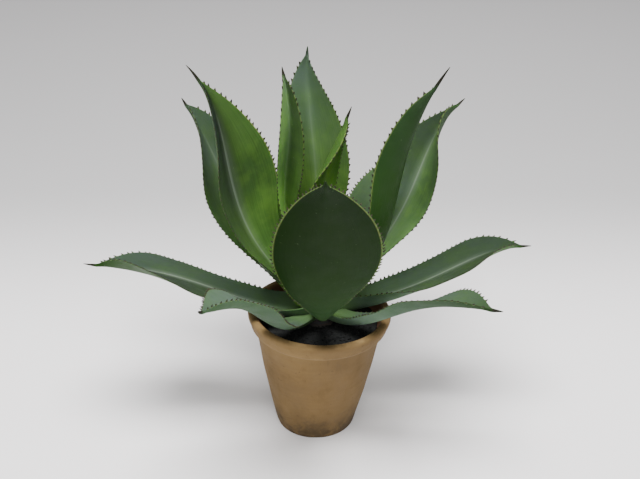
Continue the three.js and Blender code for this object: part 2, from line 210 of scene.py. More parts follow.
def plant_origin():
    """The point on the floor under the pot's axis, from which the plant is measured."""
    low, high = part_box("stem")
    return np.array([(low[0] + high[0]) / 2 - STEM_X * MM, (low[1] + high[1]) / 2, 0.0])


def srgb(r, g, b):
    """A screen colour, 0 to 255, as Blender's linear colour."""
    def one(v):
        v /= 255
        return v / 12.92 if v <= 0.04045 else ((v + 0.055) / 1.055) ** 2.4
    return (one(r), one(g), one(b), 1.0)


class Nodes:
    """A short way to write a material's node tree."""

    def __init__(self, name):
        self.material = bpy.data.materials.new(name)
        self.material.use_nodes = True
        self.tree = self.material.node_tree
        self.shader = self.tree.nodes["Principled BSDF"]

    def put(self, socket, value):
        if isinstance(value, bpy.types.NodeSocket):
            self.tree.links.new(value, socket)
        else:
            socket.default_value = value

    def surface(self, name, value):
        """Sets or links one of the shader's own sockets."""
        self.put(self.shader.inputs[name], value)

    def add(self, kind, inputs, **settings):
        """Adds a node, fills its inputs by number or name, and gives its outputs."""
        node = self.tree.nodes.new(kind)
        for key, value in settings.items():
            setattr(node, key, value)
        for key, value in inputs.items():
            self.put(node.inputs[key], value)
        return node.outputs

    def math(self, operation, a, b=0.0):
        return self.add("ShaderNodeMath", {0: a, 1: b}, operation=operation)[0]

    def plus(self, a, b):
        return self.math("ADD", a, b)

    def minus(self, a, b):
        return self.math("SUBTRACT", a, b)

    def times(self, value, *others):
        for other in others:
            value = self.math("MULTIPLY", value, other)
        return value

    def mix(self, share, a, b, blend="MIX"):
        colours = {0: share, 6: a, 7: b}
        return self.add("ShaderNodeMix", colours, data_type="RGBA", blend_type=blend)[2]

    def span(self, value, low, high, to_low=0.0, to_high=1.0):
        """Goes softly from to_low to to_high while the value goes from low to high."""
        inputs = {0: value, 1: low, 2: high, 3: to_low, 4: to_high}
        return self.add("ShaderNodeMapRange", inputs, interpolation_type="SMOOTHSTEP")[0]

    def noise(self, where, scale, detail=3.0, rough=0.5, warp=0.0):
        return self.add("ShaderNodeTexNoise", {
            "Vector": where, "Scale": scale, "Detail": detail, "Roughness": rough,
            "Distortion": warp})["Fac"]

    def stretch(self, where, x, y, z):
        return self.add("ShaderNodeMapping", {"Vector": where, "Scale": (x, y, z)})[0]

    def bump(self, height, depth, strength, before=None):
        inputs = {"Height": height, "Distance": depth, "Strength": strength}
        if before is not None:
            inputs["Normal"] = before
        return self.add("ShaderNodeBump", inputs)[0]

    def place(self):
        return self.add("ShaderNodeTexCoord", {})["Object"]

    def parts(self, vector):
        return self.add("ShaderNodeSeparateXYZ", {0: vector})

    def layer(self):
        return self.parts(self.add("ShaderNodeUVMap", {}, uv_map="leaf")[0])

    def attribute(self, name):
        return self.add("ShaderNodeAttribute", {}, attribute_name=name)


# Leaf shape, the same curves as in the part's source.

def through(values, t):
    """The curve through values that are given at even steps from 0 to 1."""
    values = np.atleast_1d(values)
    places = np.linspace(0, 1, len(values))
    curve = 0.0 * t
    for value, here in zip(values, places):
        shares = [(t - other) / (here - other) for other in places if other != here]
        curve = curve + value * np.prod(shares, axis=0)
    return curve


def blade_end(leaf):
    """How far along the leaf its blade has run out and only the needle is left."""
    return 1 - leaf["needle"] / leaf["long"]


def half_width(leaf, t):
    """Half the leaf's width at t along, widening, then narrowing, then the needle."""
    end = blade_end(leaf)
    x = np.clip(t / leaf["broad"], 0, 1)
    y = np.clip((t - leaf["broad"]) / (end - leaf["broad"]), 0, 1)
    low = leaf["neck"] + (1 - leaf["neck"]) * np.sin(math.pi / 2 * x ** 1.25) ** 2
    high = (1 - y) ** leaf["taper"] * (1 + leaf["taper"] * y)
    blade = leaf["wide"] / 2 * np.where(t < leaf["broad"], low, high)
    needle = NEEDLE_RADIUS * np.clip((1 - t) / (1 - end), 0, 1) ** 0.75
    return (blade ** 3 + needle ** 3) ** (1 / 3)


class Blade:
    """A leaf's middle line, and points on its two faces."""

    def __init__(self, leaf):
        self.leaf = leaf
        steps = 400
        t = np.linspace(0, 1, steps + 1)
        e = np.radians(through(leaf["rise"], t))
        h = np.radians(leaf["heading"] + leaf["swing"][0] * t + leaf["swing"][1] * t * t)
        along = np.stack([np.cos(e) * np.cos(h), np.cos(e) * np.sin(h), np.sin(e)], 1)
        line = np.zeros_like(along)
        line[1:] = np.cumsum((along[1:] + along[:-1]) / 2, 0) * leaf["long"] / steps
        a = math.radians(leaf["heading"])
        line += (STEM_X + leaf["out"] * math.cos(a), leaf["out"] * math.sin(a), leaf["foot"])
        side = np.stack([-np.sin(h), np.cos(h), 0 * h], 1)
        side -= (side * along).sum(1)[:, None] * along
        side /= np.linalg.norm(side, axis=1)[:, None]
        face = np.cross(along, side)
        r = np.radians(through(leaf["roll"], t))[:, None]
        self.t = t
        self.line = line
        self.side = side * np.cos(r) + face * np.sin(r)
        self.face = face * np.cos(r) - side * np.sin(r)
        # Before its foot the leaf points down into the stem.
        dip = 40
        low = math.radians(leaf["rise"][0] - dip)
        self.inward = np.array([
            math.cos(low) * math.cos(a), math.cos(low) * math.sin(a), math.sin(low)])

    def at(self, rows, t):
        inside = np.clip(t, 0, 1)
        return np.stack([np.interp(inside, self.t, rows[:, k]) for k in range(3)], -1)

    def points(self, t, u, under, wave=0.0):
        """Points at t along and u across, arrays of one shape; under is 1 on the outer face."""
        leaf = self.leaf
        held = np.clip(t, 0, 1)
        middle = self.at(self.line, t) + self.inward * (np.minimum(t, 0) * leaf["long"])[..., None]
        side, face = self.at(self.side, t), self.at(self.face, t)
        w = half_width(leaf, held)
        f = np.radians(through(leaf["fold"], held))
        bend = np.sqrt(u * u + VALLEY * VALLEY)
        lift = w * np.sin(f) * (bend - VALLEY) + wave * np.abs(u) ** 3
        p = middle + side * (w * u * np.cos(f))[..., None] + face * lift[..., None]
        slope = np.arctan2(np.sin(f) * (u / bend), np.cos(f))[..., None]
        out = face * np.cos(slope) - side * np.sin(slope)
        size = min(leaf["long"] / FULL_LONG, 1)
        keel = size * (FOOT_THICK * (1 - held) + TIP_THICK * (1 - held ** 6))
        keel = np.maximum(keel, MARGIN_THICK)
        deep = MARGIN_THICK + (keel - MARGIN_THICK) * (1 - np.abs(u) ** 1.6)
        # The last stretch of the blade turns into the round needle.
        needle = np.clip((held - blade_end(leaf) + 0.07) / 0.08, 0, 1)
        needle = needle * needle * (3 - 2 * needle)
        thick = 2 * np.minimum(w, NEEDLE_THICK) * np.maximum(1 - u * u, 0.3)
        deep = deep * (1 - needle) + thick * needle
        return p - out * (deep * under)[..., None]


def ripple(leaf, seed, t, u):
    """How far a margin waves up or down at t along, in millimetres, calm at both its ends."""
    calm = np.clip(t / 0.25, 0, 1) * np.clip((0.92 - t) / 0.2, 0, 1)
    turn = np.where(u < 0, 1.7, 0.0) + seed
    wave = np.sin(9.3 * t * leaf["long"] / 100 + turn) + 0.6 * np.sin(23 * t + 2.1 * turn)
    return leaf["ripple"] * wave * calm


class Skin:
    """The points and faces of one leaf, with each face's places in the layer and material."""

    def __init__(self):
        self.origin = plant_origin()
        self.points, self.faces, self.places, self.kinds = [], [], [], []

    def add(self, points):
        """Adds points that are measured from the pot's axis, and gives the first one's number."""
        first = len(self.points)
        self.points += (np.reshape(points, (-1, 3)) * MM + self.origin).tolist()
        return first

    def face(self, corners, places, kind):
        self.faces.append(corners)
        self.places.append(places)
        self.kinds.append(kind)

    def mesh(self, name):
        mesh = bpy.data.meshes.new(name)
        mesh.from_pydata(self.points, [], self.faces)
        flat = [value for corners in self.places for corner in corners for value in corner]
        mesh.uv_layers.new(name="leaf").data.foreach_set("uv", flat)
        mesh.polygons.foreach_set("material_index", self.kinds)
        mesh.polygons.foreach_set("use_smooth", [True] * len(self.faces))
        return mesh


def blade_grid(leaf, size):
    """Where the rings of a blade lie along it, and their points across it from -1 to 1."""
    end = blade_end(leaf)
    t = np.concatenate([
        np.array(FOOT_RINGS) / leaf["long"],
        np.linspace(0, end, max(int(leaf["long"] / size.row_step), LEAST_ROWS)),
        np.linspace(end, LAST_ROW, NEEDLE_ROWS)[1:],
    ])
    # The points are closer together at the margins.
    half = 1 - (1 - np.linspace(0, 1, size.across // 2 + 1)) ** 1.5
    return t, np.concatenate([-half[::-1], half[1:]])


def blade_rings(blade, t, u, wave):
    """Every ring of a blade: its inner face, a margin, its outer face back, the other margin."""
    upper = blade.points(t, u, 0.0, wave)
    lower = blade.points(t, u, 1.0, wave)
    margins = []
    for edge, beside in ((-1, -2), (0, 1)):
        middle = (upper[:, edge] + lower[:, edge]) / 2
        proud = middle - (upper[:, beside] + lower[:, beside]) / 2
        proud /= np.maximum(np.linalg.norm(proud, axis=1), 1e-6)[:, None]
        margins.append((middle + proud * MARGIN_PROUD)[:, None])
    return np.concatenate([upper, margins[0], lower[:, ::-1], margins[1]], 1)


def blade_mesh(name, leaf, seed, size):
    """The leaf's closed blade with its needle, and its teeth, as one mesh of two materials."""
    blade = Blade(leaf)
    t, u = blade_grid(leaf, size)
    tt, uu = np.meshgrid(t, u, indexing="ij")
    rings = blade_rings(blade, tt, uu, ripple(leaf, seed, tt, uu))
    rows, count = rings.shape[:2]
    skin = Skin()
    skin.add(rings)
    # Across, the layer has the inner face from 0 to 1 and the outer face from 2 to 3. A strip that
    # starts in the middle of a margin lies at the edge of the face that follows it.
    across = np.concatenate([(u + 1) / 2, [1.0], 2 + (u[::-1] + 1) / 2, [2.0]])
    after = np.roll(across, -1)
    before = across.copy()
    for k in (len(u), -1):
        before[k] = after[k]
    end = blade_end(leaf)
    tail = (t - end) / (1 - end)
    v = np.where(t < end, t / end * NEEDLE_START, NEEDLE_START + tail * (1 - NEEDLE_START))
    for i in range(rows - 1):
        low, high = i * count, (i + 1) * count
        for j in range(count):
            k = (j + 1) % count
            x0, x1, y0, y1 = before[j], after[j], v[i], v[i + 1]
            places = [(x0, y0), (x1, y0), (x1, y1), (x0, y1)]
            skin.face((low + j, low + k, high + k, high + j), places, FLESH)
    # The foot is closed flat and the needle ends in a point.
    foot = skin.add(rings[0].mean(0))
    tip = skin.add(blade.line[-1])
    last = (rows - 1) * count
    for j in range(count):
        k = (j + 1) % count
        skin.face((foot, k, j), [(0.5, v[0]), (after[j], v[0]), (across[j], v[0])], FLESH)
        skin.face((last + j, last + k, tip), [(0.5, v[-1]), (0.5, v[-1]), (0.5, 1.0)], FLESH)
    if leaf["ripple"] > 0:
        add_teeth(skin, blade, seed, size)
    mesh = skin.mesh(name)
    levels = blade_levels(leaf, tt, uu).reshape(-1, 4)
    rest = np.repeat(levels[-1:], len(skin.points) - len(levels), 0)
    own = mesh.attributes.new("skin", "FLOAT_COLOR", "POINT")
    own.data.foreach_set("color", np.concatenate([levels, rest]).ravel())
    marks = mesh.attributes.new("marks", "FLOAT_VECTOR", "POINT")
    marks.data.foreach_set("vector", [leaf["vein"], leaf["horn"], 0.0] * len(skin.points))
    mesh.validate()
    return mesh


def blade_levels(leaf, tt, uu):
    """Wax, lightness with painted light and shade, margin line and glow for every point of a blade's
    rings.
    """
    side = np.tanh(6 * uu)
    # Painted shade darkens the fold along the midrib toward the end.
    fold = np.exp(-(uu / 0.33) ** 2) * np.clip((tt - 0.3) / 0.3, 0, 1)
    dark = 1 - leaf["shade"] * fold
    # Painted light makes the margin line paler at the right.
    rim = leaf["rim"] * (1 - leaf["rim_side"] * side)
    faces = []
    # half paints one side of the inner face lighter and the other darker; tone and back hold painted
    # light and shade too.
    for wax, light, half, grey in (
            ("bloom", "tone", leaf["half"], leaf["grey"]), ("under", "back", 0.0, 0.0)):
        values = np.stack([
            through(leaf[wax], tt) * (1 + grey * side),
            through(leaf[light], tt) * (1 + half * side) * dark,
            rim, through(leaf["glow"], tt)], -1)
        faces.append(np.maximum(values, 0))
    upper, lower = faces
    return np.concatenate([upper, upper[:, -1:], lower[:, ::-1], upper[:, :1]], 1)


def unit(v):
    return v / np.linalg.norm(v)


def tooth_frame(blade, seed, t, u):
    """The middle of a margin at t along, and the ways along the margin, out of it and up."""
    near, inside, tip = 0.004, 0.93, 0.12
    place = t + near * np.array([-1, 0, 1])
    edge = np.full(3, u)
    wave = ripple(blade.leaf, seed, place, edge)
    top = blade.points(place, edge, 0.0, wave)
    bottom = blade.points(place, edge, 1.0, wave)
    middle = (top + bottom) / 2
    inner = blade.points(place[1:2], edge[1:2] * inside, 0.5, wave[1:2])
    along = unit(middle[2] - middle[0])
    out = middle[1] - inner[0]
    out = unit(out - out.dot(along) * along)
    # A tooth tips a little toward the inner face.
    up = np.cross(out, along)
    out = unit(out + tip * up * math.copysign(1, up.dot(top[1] - bottom[1])))
    return middle[1], along, out, np.cross(out, along)


def add_tooth(skin, foot, along, out, up, tall, lean):
    """One hooked tooth, from its wide foot inside the margin to its point."""
    sides = TOOTH_SIDES
    first = len(skin.points)
    for share, wide, thick, _ in TOOTH_RINGS:
        rise = share * tall if share else -TOOTH_SUNK
        centre = foot + out * rise + along * lean * share ** 1.5 * tall
        for k in range(sides):
            turn = 2 * math.pi * k / sides
            skin.add(centre + along * wide * math.cos(turn) + up * thick * math.sin(turn))
    point = skin.add(foot + (out + along * lean) * tall)
    heights = [(0.5, ring[-1]) for ring in TOOTH_RINGS]
    strips = [(k, (k + 1) % sides) for k in range(sides)]
    for ring, (low, high) in enumerate(zip(heights, heights[1:])):
        start = first + ring * sides
        for k, m in strips:
            corners = (start + k, start + m, start + sides + m, start + sides + k)
            skin.face(corners, [low, low, high, high], HORN)
    last = point - sides
    for k, m in strips:
        skin.face((last + k, last + m, point), [heights[-1], heights[-1], (0.5, 1.0)], HORN)
    skin.face(tuple(reversed(range(first, first + sides))), [heights[0]] * sides, HORN)


def add_teeth(skin, blade, seed, size):
    """Small hooked horn teeth along both margins, shorter toward the foot."""
    leaf = blade.leaf
    rng = random.Random(int(seed * 1000))
    for u in (-1.0, 1.0):
        s = TEETH_FROM * leaf["long"] + rng.uniform(0, 3)
        while s < leaf["long"] - leaf["needle"] - TEETH_CLEAR:
            t = s / leaf["long"]
            young = min(max((t - 0.05) / 0.2, 0.3), 1)
            tall = size.tooth * young * rng.uniform(0.75, 1.2)
            lean = rng.uniform(0.1, 0.7)
            add_tooth(skin, *tooth_frame(blade, seed, t, u), tall, lean)
            s += size.tooth_step * rng.uniform(0.75, 1.25)


def leaf_material(colours):
    """Fleshy green with a pale midrib band, grey wax, light margins and a dark needle, and painted light
    and shade in its lightness.
    """
    n = Nodes("agave leaf")
    across, along, _ = n.layer()
    # On either face u is 0 at the midrib and 1 at the margins.
    outer = n.math("GREATER_THAN", across, 1.5)
    folded = n.minus(across, n.times(outer, 2))
    u = n.math("ABSOLUTE", n.minus(n.times(folded, 2), 1))
    place = n.place()
    own = n.attribute("skin")
    bloom, tone, pale = n.parts(own["Color"])
    glow = own["Alpha"]
    vein, ripe, _ = n.parts(n.attribute("marks")["Vector"])

    broad = n.noise(place, 14, 2)
    mottle = n.noise(place, 60, 4, 0.6)
    green = n.mix(n.span(broad, 0.35, 0.65), colours.deep_green, colours.green)
    green = n.mix(n.span(mottle, 0.4, 0.75, 0, 0.35), green, colours.bright_green)
    # Fine lines run the length of the blade.
    grid = {0: n.times(folded, 70), 1: n.times(along, 5), 2: outer}
    lines = n.noise(n.add("ShaderNodeCombineXYZ", grid)[0], 1.0, 3, 0.6)
    green = n.mix(n.span(lines, 0.35, 0.75, 0, 0.3), green, colours.deep_green, "MULTIPLY")

    # Wax lies in soft patches. The outer face takes the darker outer green as painted shade, less on
    # leaves whose flesh passes more light.
    patchy = n.span(n.noise(place, 32, 5, 0.65, 0.4), 0.3, 0.7, 0.7, 1.1)
    wax = n.times(bloom, patchy)
    outer_shade = n.times(outer, n.span(glow, 0.3, 0.8, 0.9, 0.1))
    green = n.mix(outer_shade, green, colours.shaded_outer_green)
    skin = n.mix(wax, green, colours.wax)
    # Tone multiplies the skin: the leaf's own lightness, with painted light and shade in it.
    grey = n.add("ShaderNodeCombineColor", {0: tone, 1: tone, 2: tone})[0]
    skin = n.mix(1.0, skin, grey, "MULTIPLY")

    # The pale band over the midrib of the inner face, broken up into streaks.
    band = n.times(
        n.plus(n.span(u, 0, 0.06, 0.65, 0), n.span(u, 0, 0.28, 0.35, 0)),
        n.span(along, 0.05, 0.3, 0.15, 1), n.span(along, 0.6, 0.88, 1, 0), n.minus(1, outer),
        n.span(lines, 0.2, 0.7, 0.35, 1), vein, colours.band)
    skin = n.mix(band, skin, colours.midrib)

    # Pale foot, light margin line, partly painted light through the thin edge, dark needle.
    skin = n.mix(n.span(along, 0.02, 0.18, 0.4, 0), skin, colours.foot)
    edge = n.times(
        n.span(u, 0.97, 0.99), n.span(along, 0.88, 0.92, 1, 0), n.span(along, 0.3, 0.7, 0.25, 1),
        n.span(pale, 0, 1, 0.12, 0.6))
    skin = n.mix(edge, skin, n.mix(pale, colours.tooth, colours.margin))
    spotted = n.span(n.noise(place, 260, 2, 0.5), 0.7, 0.8, 0, 0.15)
    skin = n.mix(spotted, skin, colours.speck)
    needle = n.span(n.plus(along, n.times(u, 0.015)), 0.925, 0.955)
    skin = n.mix(n.times(needle, ripe), skin, colours.horn)

    n.surface("Base Color", skin)
    rough = n.plus(n.times(wax, 0.15), 0.5)
    n.surface("Roughness", n.plus(rough, n.span(mottle, 0.3, 0.7, -0.05, 0.07)))
    n.surface("Specular IOR Level", 0.04)
    passed = n.times(glow, n.span(along, 0.5, 0.93, 1, 0.35), colours.glow)
    n.surface("Subsurface Weight", passed)
    n.surface("Subsurface Radius", (0.55, 1.0, 0.25))
    n.surface("Subsurface Scale", 0.005)
    fine = n.bump(lines, 0.0004, 0.5)
    n.surface("Normal", n.bump(mottle, 0.0005, 0.35, fine))
    return n.material


def horn_material(colours):
    """Teeth: green at the foot, then dark brown horn in patches."""
    n = Nodes("agave teeth")
    high = n.layer()[1]
    place = n.place()
    tone = n.mix(n.span(n.noise(place, 300, 2), 0.35, 0.65), colours.horn, colours.tooth)
    tone = n.mix(n.span(high, 0, 0.25), colours.foot, tone)
    n.surface("Base Color", tone)
    n.surface("Roughness", n.span(high, 0, 1, 0.7, 0.5))
    n.surface("Specular IOR Level", 0.15)
    return n.material


def clay_material(colours, size):
    """Dusty buff clay: soft blotches, turning lines, dirt at the foot and under the rim, with painted
    shade on the right side and inside the rim and painted highlights on the band and lip.
    """
    n = Nodes("buff clay")
    place = n.place()
    x, y, z = n.parts(place)
    top, foot = size.height * MM, size.foot * MM
    band = top - size.band * MM
    # How far a point lies from the leaning axis, less what the wall widens on the way up, and
    # its height along that axis.
    origin = plant_origin()
    aside = n.minus(n.minus(x, origin[0]), n.times(z, math.tan(size.lean)))
    ahead = n.minus(y, origin[1])
    away = n.math("SQRT", n.plus(n.times(aside, aside), n.times(ahead, ahead)))
    flare = n.minus(away, n.times(z, wall_slope(size)))
    axial = n.plus(z, n.times(aside, math.sin(size.lean)))

    blotch = n.noise(place, 16, 4, 0.6, 0.5)
    cloud = n.noise(place, 45, 5, 0.65)
    grain = n.noise(place, 420, 3, 0.7)
    clay = n.mix(n.span(blotch, 0.3, 0.7), colours.clay, colours.clay_light)
    # Dark clouds, painted shade on the right side, and the lines that turning left.
    turning = n.noise(n.stretch(place, 3, 3, 260), 1.0, 3, 0.6)
    for share in (
            n.span(cloud, 0.52, 0.75, 0, 0.35), n.span(aside, -0.035, 0.02, 0, 0.4),
            n.span(turning, 0.4, 0.7, 0, 0.1)):
        clay = n.mix(share, clay, colours.clay_dark)
    # Damp dirt climbs unevenly from the foot.
    climb = n.plus(z, n.times(n.noise(place, 40, 5, 0.7), -0.045))
    dirt = n.span(climb, -0.018, 0.016, 1, 0)
    smudge = n.span(n.noise(place, 60, 4, 0.7, 0.6), 0.38, 0.6, 0.25, 1)
    clay = n.mix(n.times(dirt, smudge, 0.7), clay, colours.dirt)
    # Streaks that ran down from the rim band.
    runs = n.noise(n.stretch(place, 150, 150, 9), 1.0, 3, 0.6)
    streak = n.times(n.span(runs, 0.58, 0.75), n.span(z, band - 0.0499, band - 0.0019), 0.18)
    clay = n.mix(streak, clay, colours.dirt)
    speck = n.span(n.noise(place, 170, 2, 0.5), 0.66, 0.74, 0, 0.6)
    clay = n.mix(speck, clay, colours.clay_dark)
    # Painted highlight, pale on the lower edge of the band and on the lip.
    edge = band + 0.0011
    ridge = n.times(n.span(axial, edge - 0.005, edge), n.span(axial, edge, edge + 0.009, 1, 0))
    lip = n.times(n.span(z, top - 0.0039, top - 0.0014), n.span(flare, foot - 0.002, foot))
    clay_highlight = n.times(n.math("MAXIMUM", ridge, lip), n.span(cloud, 0.4, 0.62, 0, 0.55))
    clay = n.mix(clay_highlight, clay, colours.clay_highlight)
    # The rim's inside is redder, and darker as painted shade.
    within = n.span(flare, foot - 0.004, foot - 0.0015, 1, 0)
    inside = n.times(within, n.span(z, top - 0.0374, top - 0.0274), 0.8)
    clay = n.mix(inside, clay, colours.rim_inside)
    n.surface("Base Color", clay)
    n.surface("Roughness", n.span(cloud, 0.3, 0.7, 0.78, 0.95))
    n.surface("Specular IOR Level", 0.3)
    rough = n.bump(grain, 0.0003, 0.5)
    rough = n.bump(turning, 0.0003, 0.35, rough)
    n.surface("Normal", n.bump(cloud, 0.0012, 0.35, rough))
    return n.material


def soil_material(colours):
    """Dark crumbs with a few chips of bark."""
    n = Nodes("potting soil")
    place = n.place()
    lump = n.noise(place, 190, 5, 0.7)
    # Darker in the hollows between the lumps.
    tone = n.mix(n.span(lump, 0.35, 0.7), colours.soil_dark, colours.soil)
    bark = n.span(n.noise(place, 420, 2), 0.66, 0.72)
    tone = n.mix(n.times(bark, 0.2), tone, colours.bark)
    n.surface("Base Color", tone)
    n.surface("Roughness", 0.95)
    n.surface("Specular IOR Level", 0.06)
    n.surface("Normal", n.bump(lump, 0.002, 0.8))
    return n.material


def stump_material(colours):
    """Dark brown, with the rings of old leaf scars."""
    n = Nodes("agave stump")
    place = n.place()
    scar = n.noise(n.stretch(place, 30, 30, 420), 1.0, 3, 0.6)
    tone = n.mix(n.span(scar, 0.35, 0.6), colours.bark, colours.soil_dark)
    tone = n.mix(n.span(n.noise(place, 120, 4), 0.45, 0.7, 0, 0.7), tone, colours.soil_dark)
    n.surface("Base Color", tone)
    n.surface("Roughness", 0.75)
    n.surface("Normal", n.bump(scar, 0.001, 0.6))
    return n.material


def floor_material(stage):
    """Matt and nearly white, and darker behind the plant as painted shade."""
    n = Nodes("pale floor")
    far = n.parts(n.place())[1]
    # Painted shade: the floor turns toward the grey far floor behind the plant, most at about 0.6 m.
    far_shade = n.minus(n.span(far, 0.1, 0.6, 0, 0.65), n.span(far, 0.6, 2, 0, 0.2))
    tone = n.mix(far_shade, stage.floor, stage.shaded_far_floor)
    n.surface("Base Color", tone)
    n.surface("Roughness", 0.9)
    n.surface("Specular IOR Level", 0.1)
    return n.material


def new_object(name, data, *materials):
    """Puts a mesh with its materials, a lamp or a camera into the scene."""
    made = bpy.data.objects.new(name, data)
    bpy.context.scene.collection.objects.link(made)
    for material in materials:
        data.materials.append(material)
    return made


def spun(name, outline, sides, lean=0.0, x=0.0, wobble=0.0, seed=0.0):
    """A closed round solid, leaning and x aside; wobble is how far it strays from round."""
    tilt = Matrix.Rotation(lean, 3, "Y")
    origin = Vector(plant_origin())
    verts, faces, rings = [], [], []
    for r, z in outline:
        # A point on the axis is one vertex, where faces meet in a fan.
        corners = 1 if r < 1e-6 else sides
        rings.append([len(verts) + k % corners for k in range(sides)])
        for k in range(corners):
            turn = 2 * math.pi * k / sides
            around = Vector((math.cos(turn) * 1.3, math.sin(turn) * 1.3, z / 30 + seed))
            away = r + wobble * noise.noise(around) if corners > 1 else 0.0
            verts.append(tilt @ Vector((away * math.cos(turn), away * math.sin(turn), z)))
    pairs = list(zip(rings, rings[1:]))
    if outline[0][0] > 0:
        pairs.append((rings[-1], rings[0]))
    for low, high in pairs:
        for k in range(sides):
            m = (k + 1) % sides
            faces.append(tuple(dict.fromkeys((low[k], low[m], high[m], high[k]))))
    mesh = bpy.data.meshes.new(name)
    mesh.from_pydata(
        [Vector((v.x + x, v.y, max(v.z, 0))) * MM + origin for v in verts], [], faces)
    mesh.polygons.foreach_set("use_smooth", [True] * len(faces))
    mesh.validate()
    return mesh


def smooth_outline(outline, steps):
    """Rounds a closed outline with a curve through its points, without the last of them."""
    out = []
    for i in range(len(outline) - 1):
        p0 = Vector(outline[max(i - 1, 0)])
        p1, p2 = Vector(outline[i]), Vector(outline[i + 1])
        p3 = Vector(outline[min(i + 2, len(outline) - 1)])
        length = (p2 - p1).length
        m1 = (p2 - p0) / (length + (p1 - p0).length) * length
        m2 = (p3 - p1) / (length + (p3 - p2).length) * length
        for k in range(steps):
            s = k / steps
            out.append(
                p1 * (2 * s**3 - 3 * s**2 + 1) + m1 * (s**3 - 2 * s**2 + s)
                + p2 * (-2 * s**3 + 3 * s**2) + m2 * (s**3 - s**2))
    return out


def wall_slope(size):
    """How much the pot's wall widens from foot to band, for each millimetre of height."""
    return (size.rim - BAND_STEP - size.foot) / (size.height - size.band)


def wall_radius(size, z):
    """The radius of the wall's outside at height z, without its belly."""
    return size.foot + wall_slope(size) * z


def pot_outline(size):
    """The pot's section: up its outside, over the lip, down its inside and back at the drain."""
    h, foot, rim = size.height, size.foot, size.rim
    band = h - size.band
    shoulder = rim - BAND_STEP
    neck, bend = band - NECK, POT_FLOOR + CORNER

    def inner(z):
        return wall_radius(size, z) - POT_WALL

    outline = [
        (DRAIN_RADIUS, -FOOT_CUT), (foot - 2.5, -FOOT_CUT), (foot - 0.4, 0.4),
        (wall_radius(size, 4), 4)]
    rows = 11
    for k in range(1, rows):
        z = band * k / rows
        swell = size.belly * math.sin(math.pi * k / rows) ** 1.4
        outline.append((wall_radius(size, z) + swell, z))
    outline += [
        (shoulder - 0.4, band - 3.4), (shoulder + 0.7, band - 1.4), (shoulder + 2.4, band - 0.2),
        (rim - 4.4, band + 1.2), (rim - 3.2, band + 3.2), (rim - 1.9, h - 10),
        (rim - 0.7, h - 7), (rim, h - 4), (rim - 0.6, h - 1.7), (rim - 2.2, h - 0.4),
        (rim - 4.5, h), (rim - 7, h - 0.5), (rim - 8.6, h - 2.2), (rim - 9.6, h - 5),
        (rim - 10.6, h - 9)]
    outline += [(inner(z), z) for z in (neck, 100, 80, 60, 40, bend)]
    outline += [(inner(bend) - CORNER, POT_FLOOR), (DRAIN_RADIUS, POT_FLOOR), outline[0]]
    return smooth_outline(outline, 3)


def soil_mesh(size):
    """The bed of soil, crowned in the middle, with lumps and loose crumbs on top."""
    top = size.height - size.soil_depth
    neck, bend = size.height - size.band - NECK, POT_FLOOR + CORNER

    def wall(z):
        return wall_radius(size, z) - POT_WALL - SOIL_GAP

    edge = wall(neck) + 3.2

    def crown(r):
        return top + SOIL_CROWN * (1 - (r / edge) ** 2)

    outline = [
        (0, POT_FLOOR + SOIL_GAP), (wall(bend) - CORNER, POT_FLOOR + SOIL_GAP),
        (wall(bend), bend + SOIL_GAP)]
    outline += [(wall(z), z) for z in (40, 70, 100, neck)]
    rings = 26
    for k in range(rings + 1):
        r = edge * (1 - k / rings)
        outline.append((r, crown(r)))
    mesh = spun("soil_bed", outline, 120, size.lean)
    origin = Vector(plant_origin())
    for v in mesh.vertices:
        local = (v.co - origin) / MM
        if local.z > top - 3 and math.hypot(local.x, local.y) < edge - 1.0:
            lumps = noise.fractal(local * 0.22, 0.7, 2.2, 4)
            v.co.z += MM * (1.1 * lumps - 0.5)
    add_crumbs(mesh, edge, crown, size.lean)
    return mesh


def add_crumbs(mesh, edge, crown, lean):
    """Squashed, jagged crumbs lie all over the bed, none higher than the soil's solid."""
    # The lean carries the top of the bed aside by drift.
    count, drift = 520, 4
    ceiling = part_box("soil")[1][2] - 0.6 * MM
    origin = Vector(plant_origin())
    rng = random.Random(11)

    def any_way():
        return Vector([rng.uniform(-1, 1) for _ in range(3)])

    crumbs = bmesh.new()
    crumbs.from_mesh(mesh)
    for _ in range(count):
        turn = rng.uniform(0, 2 * math.pi)
        away = edge * math.sqrt(rng.uniform(0.05, 0.93))
        r = rng.uniform(0.7, 2.3)
        x, y = away * math.cos(turn), away * math.sin(turn)
        z = crown(away) - x * math.tan(lean)
        place = Matrix.Translation(origin + MM * Vector((x + drift, y, z)))
        spin = Matrix.Rotation(rng.uniform(0, 6.3), 4, any_way().normalized())
        squash = Matrix.Diagonal((r * MM, r * MM * rng.uniform(0.5, 1), r * MM * 0.6, 1))
        made = bmesh.ops.create_icosphere(
            crumbs, subdivisions=1, radius=1, matrix=place @ spin @ squash)
        for v in made["verts"]:
            v.co += any_way() * (0.12 * r * MM)
            v.co.z = min(v.co.z, ceiling)
    crumbs.to_mesh(mesh)
    crumbs.free()


# What a user would change.

def colour(name, description, r, g, b):
    return bpy.props.FloatVectorProperty(
        name=name, description=description, default=srgb(r, g, b), size=4, min=0.0, max=1.0,
        subtype="COLOR")


def number(name, description, default, **more):
    return bpy.props.FloatProperty(name=name, description=description, default=default, **more)


def millimetres(name, description, default, low, high):
    return number(name, description + ", in millimetres", default, min=low, max=high)


class AgaveLeafSizes(bpy.types.PropertyGroup):
    row_step: millimetres("Row step", "Distance between cross sections of a blade", 1.8, 0.5, 10)
    across: bpy.props.IntProperty(
        name="Strips across", description="How many strips of mesh cross each face of a blade",
        default=20, min=6, max=60)
    tooth: millimetres("Tooth length", "Length of a full-grown margin tooth", 2.9, 0.5, 6)
    tooth_step: millimetres("Tooth step", "Distance from tooth to tooth", 5.6, 2, 20)


